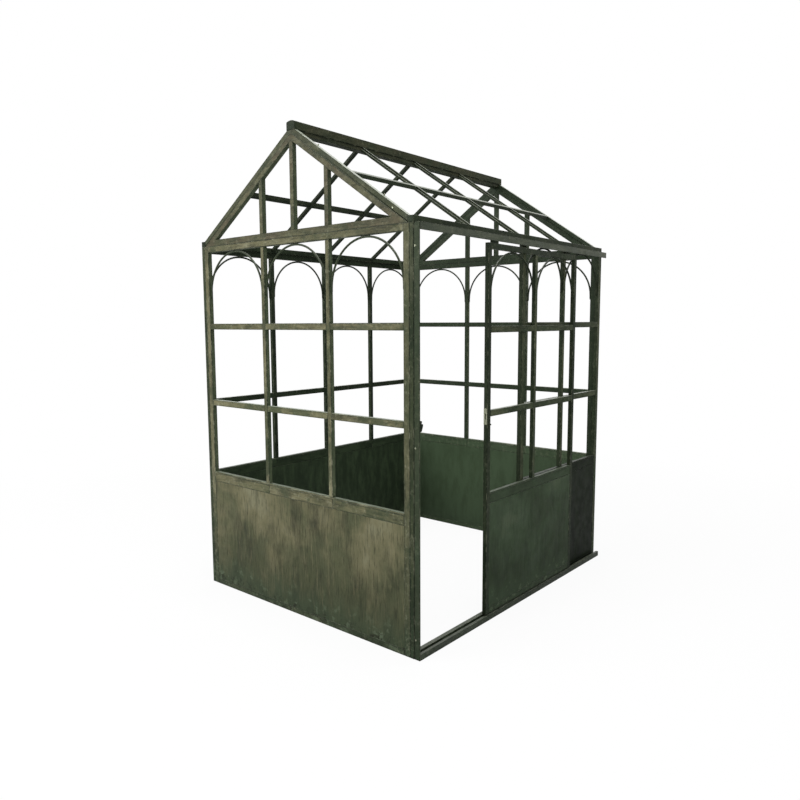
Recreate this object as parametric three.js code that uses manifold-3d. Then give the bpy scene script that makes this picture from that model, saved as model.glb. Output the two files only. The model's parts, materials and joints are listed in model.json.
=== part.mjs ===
// Victorian greenhouse: an open steel frame with sheet-metal dado walls, arched
// top lights, a pitched roof frame and a sliding door that hangs outside one
// long wall. Millimetres, +Z up, the gables face -Y and +Y, the door is on +X.
// The origin is on the floor, at the middle of the footprint.
import * as THREE from "three";
import { mergeVertices } from "three/addons/utils/BufferGeometryUtils.js";
import Module from "manifold-3d";

const wasm = await Module();
wasm.setup();

// ---------------------------------------------------------------- sizes

// House
const houseLength = 1922; // front gable face to back gable face
const gableWidth = 1530; // across a gable frame
const wallHeight = 2000; // floor to the top of the walls
const seam = 0.3; // hairline between two members that are fixed together
const pointMerge = 1e-4; // corners closer than this are one
const arcSteps = 8; // segments of a curve in an outline

// Tubes
const stileWidth = 35;
const gableDepth = 25; // a gable frame, front to back
const sideDepth = 24; // a side wall, inside to outside
const mullionWidth = 27;
const mullionRecess = 0.5; // how far glazing bars lie behind the frame's faces
const transomHeight = 33;
const topRailHeight = 34;
const lowerTransomCentre = 1100;
const upperTransomCentre = 1544;
const gableMullionOffset = 247; // from the gable's middle to a mullion's centre
const sideMullionPitch = 460; // between mullions of a long wall, and between rafters
const doorWallRailHeight = 20; // the door wall's thinner top rail

// Dado
const dadoHeight = 687;
const dadoRailHeight = 57;
const bottomRailHeight = 30;
const outerReveal = 1; // outer sheet behind the frame's face
const innerReveal = 3; // inner sheet behind the frame's face
const panelLap = 6; // how far a piece runs in behind the one it is welded to

// Arched top lights
const archRodRadius = 5;
const archLeg = 25; // straight length below the half circle
const weldBite = 1.5; // how far a rod's side is let into the bar that carries it
const archSteps = 18;
const rodSides = 8;

// Doorway
const doorwayWidth = 902;
const postWidth = 35;

// Door
const doorWidth = 960;
const doorThickness = 22;
const doorStileWidth = 30;
const doorUpperTransomCentre = 1527;
const doorRest = 560; // front gable face to the leading edge, partly open
const doorGap = 5; // running clearance between the door and the wall
const doorFloorGap = 6; // between the track's lip and the door
const doorHeadGap = 10; // between the door and the head track
const doorTopRailHeight = 30;
const doorBottomRailHeight = 34;

// Tracks, on the outside of the door wall
const trackDepth = 32; // wall face to the track's outer face
const trackWall = 3;
const headTrackHeight = 34;
const headTrackInnerLip = 22; // the inner flange hangs down less than the outer
const trackLipDepth = 16;
const trackLipHeight = 30;
const trackFloor = 4;
const guideLength = 60;
const guideThickness = 8;
const guideRise = 20; // how far a guide stands into the head track
const guideFrontInset = 63; // door's leading edge to the front guide's middle
const guideBackInset = 100; // door's trailing edge to the back guide's middle
const rollerRadius = 14;
const rollerWidth = 6;
const rollerInset = 110; // door's edge to the roller's axle
const rollerPlate = 3;
const rollerAxleRadius = 4;
const rollerAxleLength = 9;
const turnedSides = 24; // facets of a wheel, and of a knob
const shortWeld = 1; // how far a small part is let into the one that carries it

// Jamb and lock
const jambSetback = 2; // front gable face to the jamb's face
const jambThickness = 5;
const jambLegDepth = 12;
const jambLegThickness = 3;
const jambCornerRadius = 14;
const keeperThickness = 4;
const keeperCentre = 1101;
const keeperHeight = 50;
const keeperReach = 20; // from its back edge to the tooth's tip
const keeperRoot = 8; // from its back edge to the plain edge below the tooth
const keeperHook = 12; // from its back edge to the hook's tip
const keeperNotch = 2; // how far the latch's notch is cut behind the hook
const lockPlateHeight = 82;
const lockPlateCentre = 1085;
const lockPlateThickness = 2.5;
const lockPlateWidth = 20;
const lockSlotHeight = 30;
const lockSlotWidth = 6;
const knobCentre = 1045;
const knobRadius = 4;
const knobReach = 13;
const knobRoseRadius = 6;
const knobRoseThickness = 1.5;
const knobStemRadius = 2.5;

// Roof
const roofSlope = 0.67; // rise over run
const eavesWidth = 32;
const eavesHeight = 30;
const slopeDepth = 28; // an end rafter or truss chord, square to the slope
const trussChordHeight = 33;
const endRafterSetback = 2; // gable face to an end rafter's face
const ridgeWidth = 60;
const ridgeCapHeight = 40; // the cap's straight side
const ridgeCrown = 6.5; // rise of the cap's arched top above its sides
const ridgeStand = 20.5; // top of the cap's side above the point where the slopes meet
const ridgeKeelWidth = 48;
const ridgeKeelDepth = 20; // the keel below the cap
const slopeSpringHeight = 28; // the slope's foot above the wall top, over the gable's edge
const rafterWidth = 25;
const rafterDepth = 22; // bar and fin together
const finWidth = 9; // a rafter's glazing fin
const finHeight = 10;
const purlinOffset = 405; // from the middle of the roof, measured level
const purlinWidth = 20; // along the slope
const purlinDepth = 17;

// ------------------------------------------------- places, from the sizes

const halfLength = houseLength / 2;
const halfGable = gableWidth / 2;
const sideInner = halfGable + seam; // inner face of a side wall
const sideOuter = halfGable + sideDepth; // outer face of a side wall
const topRailUnderside = wallHeight - topRailHeight;
const doorInner = sideOuter + doorGap;
const doorOuter = doorInner + doorThickness;
const trackInner = sideOuter + seam;
const trackOuter = sideOuter + trackDepth;
const headTrackUnderside = wallHeight - headTrackHeight;
const doorBottom = trackLipHeight + doorFloorGap;
const doorTop = headTrackUnderside - doorHeadGap;
const doorwayStart = -halfLength + postWidth;
const doorwayEnd = doorwayStart + doorwayWidth;
const doorLead = -halfLength + doorRest;
const doorTrail = doorLead + doorWidth;
const trackStart = -halfLength + jambSetback + jambThickness + seam;
const sideMullions = [-sideMullionPitch, 0, sideMullionPitch];
const slopeCos = 1 / Math.hypot(1, roofSlope);
const slopeDrop = slopeDepth / slopeCos; // a slope member's depth, measured plumb
const slopeApex = wallHeight + slopeSpringHeight + roofSlope * halfGable;
const capShoulder = slopeApex + ridgeStand; // top of the ridge cap's sides
const capUnderside = capShoulder - ridgeCapHeight;
const ridgeUnderside = capUnderside - ridgeKeelDepth;
const footprintRight = doorOuter + knobReach;
const footprintLeft = -sideOuter;

// ------------------------------------------------------ solids and meshes

// A closed geometry as a manifold-3d solid.
function toSolid(geometry) {
  const bare = geometry.index ? geometry.toNonIndexed() : geometry.clone();
  bare.deleteAttribute("normal");
  bare.deleteAttribute("uv");
  const merged = mergeVertices(bare, pointMerge);
  return new wasm.Manifold(
    new wasm.Mesh({
      numProp: 3,
      vertProperties: merged.attributes.position.array,
      triVerts: new Uint32Array(merged.index.array),
    }),
  );
}

// A manifold-3d solid as a flat-shaded geometry.
function toGeometry(solid) {
  const mesh = solid.getMesh();
  const geometry = new THREE.BufferGeometry();
  geometry.setAttribute("position", new THREE.BufferAttribute(mesh.vertProperties, mesh.numProp));
  geometry.setIndex(new THREE.BufferAttribute(mesh.triVerts, 1));
  const flat = geometry.toNonIndexed();
  flat.computeVertexNormals();
  return flat;
}

// Several overlapping geometries welded into one.
function weld(...geometries) {
  return toGeometry(geometries.map(toSolid).reduce((all, one) => all.add(one)));
}

// One geometry with others cut out of it.
function cut(geometry, ...tools) {
  return toGeometry(tools.map(toSolid).reduce((all, one) => all.subtract(one), toSolid(geometry)));
}

// A box between two corners, each axis given as [low, high].
function block([x0, x1], [y0, y1], [z0, z1]) {
  const box = new THREE.BoxGeometry(x1 - x0, y1 - y0, z1 - z0);
  return box.translate((x0 + x1) / 2, (y0 + y1) / 2, (z0 + z1) / 2);
}

// An outline pushed out to a depth.
function extrude(shape, depth) {
  return new THREE.ExtrudeGeometry(shape, { depth, bevelEnabled: false, curveSegments: arcSteps });
}

// An outline in the XZ plane, extruded from y0 to y1.
function slab(shape, [y0, y1]) {
  const solid = extrude(shape, y1 - y0);
  return solid.rotateX(Math.PI / 2).translate(0, y1, 0);
}

// An outline in the YZ plane, extruded from x0 to x1.
function plate(shape, [x0, x1]) {
  const solid = extrude(shape, x1 - x0);
  return solid.rotateX(Math.PI / 2).rotateZ(Math.PI / 2).translate(x0, 0, 0);
}

function outline(...points) {
  return new THREE.Shape(points.map(([a, b]) => new THREE.Vector2(a, b)));
}

const paint = {
  gable: new THREE.MeshStandardMaterial({ color: 0x66674f, roughness: 0.62, metalness: 0.25 }),
  side: new THREE.MeshStandardMaterial({ color: 0x39412f, roughness: 0.6, metalness: 0.25 }),
  dado: new THREE.MeshStandardMaterial({ color: 0x2b3128, roughness: 0.65, metalness: 0.2 }),
  track: new THREE.MeshStandardMaterial({ color: 0x4d5a4e, roughness: 0.5, metalness: 0.4 }),
  steel: new THREE.MeshStandardMaterial({ color: 0x9a9a90, roughness: 0.4, metalness: 0.8 }),
};

function piece(name, geometry, material) {
  const mesh = new THREE.Mesh(geometry, material);
  mesh.name = name;
  return mesh;
}

// ------------------------------------------------------------------ walls

// A wall's own directions: u runs along it, and d runs in from its outer face.
// Each of these turns [low, high] spans of u, d and z into a box.
const frontWall = {
  span: (u, d, z) => block(u, [-halfLength + d[0], -halfLength + d[1]], z),
  point: (u, d, z) => new THREE.Vector3(u, -halfLength + d, z),
  depth: gableDepth,
};
const backWall = {
  span: (u, d, z) => block(u, [halfLength - d[1], halfLength - d[0]], z),
  point: (u, d, z) => new THREE.Vector3(u, halfLength - d, z),
  depth: gableDepth,
};
const leftWall = {
  span: (u, d, z) => block([-sideOuter + d[0], -sideOuter + d[1]], u, z),
  point: (u, d, z) => new THREE.Vector3(-sideOuter + d, u, z),
  depth: sideOuter - sideInner,
};
const rightWall = {
  span: (u, d, z) => block([sideOuter - d[1], sideOuter - d[0]], u, z),
  point: (u, d, z) => new THREE.Vector3(sideOuter - d, u, z),
  depth: sideOuter - sideInner,
};
const doorLeaf = {
  span: (u, d, z) => block([doorOuter - d[1], doorOuter - d[0]], u, z),
  point: (u, d, z) => new THREE.Vector3(doorOuter - d, u, z),
  depth: doorThickness,
};

// A round rod bent to a half circle with two straight legs, in a wall's plane.
function archRod(wall, centre, radius, crown) {
  const depth = wall.depth / 2;
  const spring = crown - radius;
  const path = new THREE.CurvePath();
  class HalfCircle extends THREE.Curve {
    getPoint(t, target = new THREE.Vector3()) {
      const turn = Math.PI * (1 - t);
      const along = centre + radius * Math.cos(turn);
      return target.copy(wall.point(along, depth, spring + radius * Math.sin(turn)));
    }
  }
  const foot = (side, z) => wall.point(centre + side * radius, depth, z);
  path.add(new THREE.LineCurve3(foot(-1, spring - archLeg), foot(-1, spring)));
  path.add(new HalfCircle());
  path.add(new THREE.LineCurve3(foot(1, spring), foot(1, spring - archLeg)));
  const section = new THREE.Shape();
  section.absarc(0, 0, archRodRadius, 0, 2 * Math.PI);
  return new THREE.ExtrudeGeometry(section, {
    steps: archSteps,
    curveSegments: rodSides / 2,
    bevelEnabled: false,
    extrudePath: path,
  });
}

// The glazing bars of one wall: mullions and transoms that cross, with an arch
// under the head of each bay. bays holds each bay's clear span, end to end.
function lattice(wall, bays, low, high, upperCentre = upperTransomCentre) {
  const start = bays[0][0];
  const end = bays[bays.length - 1][1];
  const bars = [mullionRecess, wall.depth - mullionRecess];
  const parts = [lowerTransomCentre, upperCentre].map((centre) =>
    wall.span([start, end], bars, [centre - transomHeight / 2, centre + transomHeight / 2]),
  );
  bays.forEach(([from, to], i) => {
    if (i > 0) parts.push(wall.span([bays[i - 1][1], from], bars, [low, high]));
    // Inner legs are let into a mullion; outer legs stop at the frame.
    const left = i > 0 ? from - weldBite : from;
    const right = i < bays.length - 1 ? to + weldBite : to;
    const radius = (right - left) / 2 - archRodRadius;
    parts.push(archRod(wall, (left + right) / 2, radius, high - archRodRadius));
  });
  return weld(...parts);
}

// A dado panel, sheeted on both sides: a boxed top rail, the panel set back a
// little from both faces, and a bottom rail.
function dadoPanel(wall, span, bottom, top, bottomRail) {
  const full = [0, wall.depth];
  return weld(
    wall.span(span, full, [top - dadoRailHeight, top]),
    wall.span(
      span,
      [outerReveal, wall.depth - innerReveal],
      [bottom + bottomRail - panelLap, top - dadoRailHeight + panelLap],
    ),
    wall.span(span, full, [bottom, bottom + bottomRail]),
  );
}

// Clear bays between frame members, cut by mullions at the given centres.
function baysBetween(start, end, centres) {
  const edges = [start, ...centres.flatMap((c) => [c - mullionWidth / 2, c + mullionWidth / 2]), end];
  return edges.flatMap((edge, i) => (i % 2 ? [] : [[edge, edges[i + 1]]]));
}

// A gable frame: two stiles, a top rail, glazing bars and a dado panel.
function gableFrame(name, wall) {
  const full = [0, gableDepth];
  const inner = halfGable - stileWidth - seam;
  const bays = baysBetween(-inner, inner, [-gableMullionOffset, gableMullionOffset]);
  const group = new THREE.Group();
  group.add(
    piece(`${name}_left_stile`, wall.span([-halfGable, -inner - seam], full, [0, wallHeight]), paint.gable),
    piece(`${name}_right_stile`, wall.span([inner + seam, halfGable], full, [0, wallHeight]), paint.gable),
    piece(`${name}_top_rail`, wall.span([-inner, inner], full, [topRailUnderside, wallHeight]), paint.gable),
    piece(
      `${name}_glazing_bars`,
      lattice(wall, bays, dadoHeight + seam, topRailUnderside - seam),
      paint.gable,
    ),
    piece(`${name}_dado`, dadoPanel(wall, [-inner, inner], 0, dadoHeight, bottomRailHeight), paint.gable),
  );
  return group;
}

// The plain long wall, with four bays.
function plainWall() {
  const full = [0, leftWall.depth];
  const inner = halfLength - postWidth - seam;
  const bays = baysBetween(-inner, inner, sideMullions);
  const group = new THREE.Group();
  group.add(
    piece(
      "left_wall_front_post",
      leftWall.span([-halfLength, -inner - seam], full, [0, wallHeight]),
      paint.side,
    ),
    piece(
      "left_wall_back_post",
      leftWall.span([inner + seam, halfLength], full, [0, wallHeight]),
      paint.side,
    ),
    piece(
      "left_wall_top_rail",
      leftWall.span([-inner, inner], full, [topRailUnderside, wallHeight]),
      paint.side,
    ),
    piece(
      "left_wall_glazing_bars",
      lattice(leftWall, bays, dadoHeight + seam, topRailUnderside - seam),
      paint.side,
    ),
    piece(
      "left_wall_dado",
      dadoPanel(leftWall, [-inner, inner], 0, dadoHeight, bottomRailHeight),
      paint.dado,
    ),
  );
  return group;
}

// The door wall: a doorway in its front half and two fixed bays in its back half.
function doorWall() {
  const full = [0, rightWall.depth];
  const frontInner = doorwayStart;
  const backInner = halfLength - postWidth;
  const stileEnd = doorwayEnd + stileWidth;
  const fixedStart = stileEnd + seam;
  const fixedEnd = backInner - seam;
  const bays = baysBetween(fixedStart, fixedEnd, [sideMullionPitch]);
  const railUnderside = wallHeight - doorWallRailHeight;
  const head = railUnderside - seam;
  const group = new THREE.Group();
  group.add(
    piece(
      "right_wall_front_post",
      rightWall.span([-halfLength, frontInner], full, [0, wallHeight]),
      paint.side,
    ),
    piece("right_wall_back_post", rightWall.span([backInner, halfLength], full, [0, wallHeight]), paint.side),
    piece(
      "right_wall_top_rail",
      rightWall.span([frontInner + seam, fixedEnd], full, [railUnderside, wallHeight]),
      paint.side,
    ),
    piece("doorway_stile", rightWall.span([doorwayEnd, stileEnd], full, [0, head]), paint.side),
    piece(
      "doorway_sill",
      rightWall.span([frontInner + seam, doorwayEnd - seam], full, [0, bottomRailHeight]),
      paint.side,
    ),
    piece("right_wall_glazing_bars", lattice(rightWall, bays, dadoHeight + seam, head), paint.side),
    piece(
      "right_wall_dado",
      dadoPanel(rightWall, [fixedStart, fixedEnd], 0, dadoHeight, bottomRailHeight),
      paint.dado,
    ),
  );
  return group;
}

// ------------------------------------------------- tracks, jamb and keeper

// The jamb: a face plate beside the corner post, rounded at its top inner
// corner, with a short leg against the post between the two tracks.
function jamb() {
  const turn = [trackInner + jambCornerRadius, wallHeight - jambCornerRadius];
  const face = new THREE.Shape();
  face.moveTo(trackInner, 0);
  face.lineTo(trackOuter, 0);
  face.lineTo(trackOuter, wallHeight);
  face.lineTo(trackInner + jambCornerRadius, wallHeight);
  face.absarc(...turn, jambCornerRadius, Math.PI / 2, Math.PI);
  face.closePath();
  const front = -halfLength + jambSetback;
  const back = front + jambThickness;
  const leg = block(
    [trackInner, trackInner + jambLegThickness],
    [front, back + jambLegDepth],
    [trackLipHeight + seam, headTrackUnderside - seam],
  );
  return weld(slab(face, [front, back]), leg);
}

// The keeper: a toothed plate on the jamb's outer edge. A long tapered tooth
// stands below, a short hook above, with the latch's notch between them.
function keeper() {
  const back = -halfLength + jambSetback;
  const tip = back + keeperReach;
  const hook = back + keeperHook;
  const at = (share) => keeperCentre + keeperHeight * (share - 0.5);
  const shape = outline(
    [back, at(0)],
    [back + keeperRoot, at(0)],
    [hook, at(0.1)],
    [tip, at(0.5)],
    [tip, at(0.67)],
    [hook - keeperNotch, at(0.73)],
    [hook - keeperNotch, at(0.79)],
    [hook, at(0.83)],
    [hook, at(0.95)],
    [back + keeperRoot, at(1)],
    [back, at(1)],
  );
  return plate(shape, [trackOuter + seam, trackOuter + seam + keeperThickness]);
}

// The head track: a channel open below, in which the door's guides run. Its
// inner flange is the shorter one.
function headTrack() {
  const run = [trackStart, halfLength];
  const top = block([trackInner, trackOuter], run, [wallHeight - trackWall, wallHeight]);
  const outer = block([trackOuter - trackWall, trackOuter], run, [headTrackUnderside, wallHeight]);
  const lip = wallHeight - headTrackInnerLip;
  const inner = block([trackInner, trackInner + trackWall], run, [lip, wallHeight]);
  return weld(top, outer, inner);
}

// The floor track: a tubular lip outside, and a floor that the rollers run on.
function floorTrack() {
  const run = [trackStart, halfLength];
  const floor = block([trackInner, trackOuter], run, [0, trackFloor]);
  const lip = block([trackOuter - trackLipDepth, trackOuter], run, [0, trackLipHeight]);
  return weld(floor, lip);
}

// ------------------------------------------------------------------- door

// A roller shoe: a plate from the door's underside, an axle and a wheel.
function rollerShoe(y) {
  const axleHeight = trackFloor + seam + rollerRadius;
  const plateTop = doorBottom - seam;
  const wheelInner = doorInner + rollerPlate - shortWeld;
  const disc = (radius, width) => new THREE.CylinderGeometry(radius, radius, width, turnedSides);
  const wheel = disc(rollerRadius, rollerWidth);
  wheel.rotateZ(Math.PI / 2).translate(wheelInner + rollerWidth / 2, y, axleHeight);
  const axle = disc(rollerAxleRadius, rollerAxleLength);
  axle.rotateZ(Math.PI / 2).translate(wheelInner + rollerWidth / 2, y, axleHeight);
  const hanger = block(
    [doorInner, doorInner + rollerPlate],
    [y - rollerRadius, y + rollerRadius],
    [axleHeight - rollerAxleRadius, plateTop],
  );
  return weld(hanger, wheel, axle);
}

// The turned knob with its rose, on the outer face of the leading stile.
function knob() {
  const base = doorOuter + seam;
  const reach = knobReach - seam;
  const profile = [
    [0, 0],
    [knobRoseRadius, 0],
    [knobRoseRadius, knobRoseThickness],
    [knobStemRadius, 1.75 * knobRoseThickness],
    [knobStemRadius, reach - 1.3 * knobRadius],
    [0.8 * knobRadius, reach - 1.1 * knobRadius],
    [knobRadius, reach - 0.7 * knobRadius],
    [0.9 * knobRadius, reach - 0.25 * knobRadius],
    [0.5 * knobRadius, reach],
    [0, reach],
  ].map(([r, h]) => new THREE.Vector2(r, h));
  const turned = new THREE.LatheGeometry(profile, turnedSides);
  return turned.rotateZ(-Math.PI / 2).translate(base, doorLead + doorStileWidth / 2, knobCentre);
}

function slidingDoor() {
  const full = [0, doorThickness];
  const start = doorLead + doorStileWidth + seam;
  const end = doorTrail - doorStileWidth - seam;
  const railUnderside = doorTop - doorTopRailHeight;
  const bays = baysBetween(start, end, [(start + end) / 2]);
  const guide = (y) =>
    block(
      [doorInner + (doorThickness - guideThickness) / 2, doorInner + (doorThickness + guideThickness) / 2],
      [y - guideLength / 2, y + guideLength / 2],
      [doorTop - shortWeld, headTrackUnderside + guideRise],
    );
  const lockPlate = cut(
    block(
      [doorInner + (doorThickness - lockPlateWidth) / 2, doorInner + (doorThickness + lockPlateWidth) / 2],
      [doorLead - seam - lockPlateThickness, doorLead - seam],
      [lockPlateCentre - lockPlateHeight / 2, lockPlateCentre + lockPlateHeight / 2],
    ),
    block(
      [doorInner + (doorThickness - lockSlotWidth) / 2, doorInner + (doorThickness + lockSlotWidth) / 2],
      [doorLead - 2 * lockPlateThickness, doorLead + lockPlateThickness],
      [lockPlateCentre - lockSlotHeight / 2, lockPlateCentre + lockSlotHeight / 2],
    ),
  );
  const group = new THREE.Group();
  group.add(
    piece(
      "door_leading_stile",
      doorLeaf.span([doorLead, start - seam], full, [doorBottom, doorTop]),
      paint.side,
    ),
    piece(
      "door_trailing_stile",
      doorLeaf.span([end + seam, doorTrail], full, [doorBottom, doorTop]),
      paint.side,
    ),
    piece(
      "door_top_rail",
      weld(
        doorLeaf.span([start, end], full, [railUnderside, doorTop]),
        guide(doorLead + guideFrontInset),
        guide(doorTrail - guideBackInset),
      ),
      paint.side,
    ),
    piece(
      "door_glazing_bars",
      lattice(doorLeaf, bays, dadoHeight + seam, railUnderside - seam, doorUpperTransomCentre),
      paint.side,
    ),
    piece(
      "door_panel",
      dadoPanel(doorLeaf, [start, end], doorBottom, dadoHeight, doorBottomRailHeight),
      paint.dado,
    ),
    piece("door_front_roller", rollerShoe(doorLead + rollerInset), paint.steel),
    piece("door_back_roller", rollerShoe(doorTrail - rollerInset), paint.steel),
    piece("lock_plate", lockPlate, paint.steel),
    piece("door_knob", knob(), paint.side),
  );
  return group;
}

// ------------------------------------------------------------------- roof

// Height of the slope's top surface at a distance from the middle.
const slopeAt = (x) => slopeApex - roofSlope * Math.abs(x);

// Mirrors points in the XZ plane to the other slope.
const onSide = (side, points) => outline(...points.map(([x, z]) => [side * x, z]));

// A strip of one slope, between two depths below its surface, from the middle
// of the roof to past the eaves.
function slopeStrip(side, fromDrop, toDrop, ySpan) {
  const toe = sideOuter;
  const points = [
    [seam, slopeAt(seam) - fromDrop],
    [seam, slopeAt(seam) - toDrop],
    [toe, slopeAt(toe) - toDrop],
    [toe, slopeAt(toe) - fromDrop],
  ];
  return slab(onSide(side, points), ySpan);
}

// Trims slope members under the ridge cap at their heads, and over the eaves
// rail and the wall top at their feet. More tools may be given.
function seatOnFrame(side, geometry, ...tools) {
  const whole = [-houseLength, houseLength];
  const head = ridgeWidth / 2 + seam;
  const cheek = sideOuter - eavesWidth - seam;
  const eavesTop = wallHeight + seam + eavesHeight + seam;
  const eaves = side < 0 ? [-gableWidth, -cheek] : [cheek, gableWidth];
  return cut(
    geometry,
    block([-head, head], whole, [capUnderside - seam, 2 * wallHeight]),
    block(eaves, whole, [0, eavesTop]),
    block([-gableWidth, gableWidth], whole, [0, wallHeight + seam]),
    ...tools,
  );
}

// An end rafter: a flat bar on edge that lies on the truss and meets its
// fellow under the ridge cap.
function endRafter(side, ySpan) {
  return seatOnFrame(side, slopeStrip(side, 0, slopeDrop, ySpan));
}

// The ridge: a cap with a low arched top, over a narrower keel that runs
// between the gables.
function ridge() {
  const half = ridgeWidth / 2;
  const arcRadius = (half * half + ridgeCrown * ridgeCrown) / (2 * ridgeCrown);
  const spread = Math.asin(half / arcRadius);
  const arcCentre = capShoulder + ridgeCrown - arcRadius;
  const cap = new THREE.Shape();
  cap.moveTo(-half, capUnderside);
  cap.lineTo(half, capUnderside);
  cap.lineTo(half, capShoulder);
  cap.absarc(0, arcCentre, arcRadius, Math.PI / 2 - spread, Math.PI / 2 + spread);
  cap.closePath();
  const keelEnd = halfLength - gableDepth - seam;
  const keel = block(
    [-ridgeKeelWidth / 2, ridgeKeelWidth / 2],
    [-keelEnd, keelEnd],
    [ridgeUnderside, capUnderside + panelLap],
  );
  return weld(slab(cap, [-halfLength, halfLength]), keel);
}

// A roof slope's glazing bars: three rafters with fins, crossed by one purlin.
function slopeBars(side) {
  const fin = finHeight / slopeCos;
  const under = rafterDepth / slopeCos;
  const rafters = sideMullions.flatMap((y) => [
    slopeStrip(side, fin, under, [y - rafterWidth / 2, y + rafterWidth / 2]),
    slopeStrip(side, 0, under, [y - finWidth / 2, y + finWidth / 2]),
  ]);
  const upper = purlinOffset - (purlinWidth / 2) * slopeCos;
  const lower = purlinOffset + (purlinWidth / 2) * slopeCos;
  const drop = purlinDepth / slopeCos;
  const purlin = onSide(side, [
    [upper, slopeAt(upper)],
    [upper, slopeAt(upper) - drop],
    [lower, slopeAt(lower) - drop],
    [lower, slopeAt(lower)],
  ]);
  const end = halfLength - gableDepth - seam;
  const keel = ridgeKeelWidth / 2 + seam;
  return seatOnFrame(
    side,
    weld(...rafters, slab(purlin, [-end, end])),
    block([-keel, keel], [-end, end], [ridgeUnderside - seam, 2 * wallHeight]),
  );
}

// A gable truss: bottom chord, two sloping chords, a king post and two studs.
function truss([y0, y1]) {
  const base = wallHeight + seam;
  const top = (x) => slopeAt(x) - slopeDrop - seam;
  const under = (x) => top(x) - slopeDrop;
  const reach = (slopeApex - slopeDrop - seam - base) / roofSlope;
  const innerReach = reach - slopeDrop / roofSlope;
  const ring = outline([-reach, base], [reach, base], [0, top(0)]);
  const chordTop = base + trussChordHeight;
  const hole = new THREE.Path();
  const corner = innerReach - (chordTop - base) / roofSlope;
  hole.moveTo(-corner, chordTop);
  hole.lineTo(0, under(0));
  hole.lineTo(corner, chordTop);
  hole.closePath();
  ring.holes.push(hole);
  const posts = [-gableMullionOffset, 0, gableMullionOffset].map((x) =>
    block(
      [x - mullionWidth / 2, x + mullionWidth / 2],
      [y0 + mullionRecess, y1 - mullionRecess],
      [chordTop - shortWeld, under(Math.abs(x) + mullionWidth / 2) + roofSlope * mullionWidth],
    ),
  );
  return weld(slab(ring, [y0, y1]), ...posts);
}

function roof() {
  const inner = halfLength - gableDepth;
  const face = halfLength - endRafterSetback;
  const eaves = [wallHeight + seam, wallHeight + seam + eavesHeight];
  const run = [-halfLength, halfLength];
  const group = new THREE.Group();
  group.add(
    piece("left_eaves_rail", block([-sideOuter, -sideOuter + eavesWidth], run, eaves), paint.side),
    piece("right_eaves_rail", block([sideOuter - eavesWidth, sideOuter], run, eaves), paint.side),
    piece("front_truss", truss([-halfLength, -inner]), paint.gable),
    piece("back_truss", truss([inner, halfLength]), paint.gable),
    piece("ridge", ridge(), paint.side),
    piece("front_left_end_rafter", endRafter(-1, [-face, -inner]), paint.gable),
    piece("front_right_end_rafter", endRafter(1, [-face, -inner]), paint.gable),
    piece("back_left_end_rafter", endRafter(-1, [inner, face]), paint.gable),
    piece("back_right_end_rafter", endRafter(1, [inner, face]), paint.gable),
    piece("left_roof_bars", slopeBars(-1), paint.side),
    piece("right_roof_bars", slopeBars(1), paint.side),
  );
  return group;
}

// --------------------------------------------------------------- assembly

const greenhouse = new THREE.Group();
greenhouse.position.x = -(footprintRight + footprintLeft) / 2;
greenhouse.add(
  gableFrame("front_gable", frontWall),
  gableFrame("back_gable", backWall),
  plainWall(),
  doorWall(),
  piece("doorway_jamb", jamb(), paint.gable),
  piece("door_keeper", keeper(), paint.side),
  piece("head_track", headTrack(), paint.track),
  piece("floor_track", floorTrack(), paint.track),
  slidingDoor(),
  roof(),
);

const assembly = new THREE.Group();
assembly.add(greenhouse);

export default assembly;
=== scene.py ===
"""Victorian greenhouse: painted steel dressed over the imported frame, with its welds, screws and wear."""

import json
import math
import random

import bmesh
import bpy
from bpy.props import FloatProperty, FloatVectorProperty, IntProperty, PointerProperty
from mathutils import Euler, Matrix, Vector
from mathutils.geometry import area_tri

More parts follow.
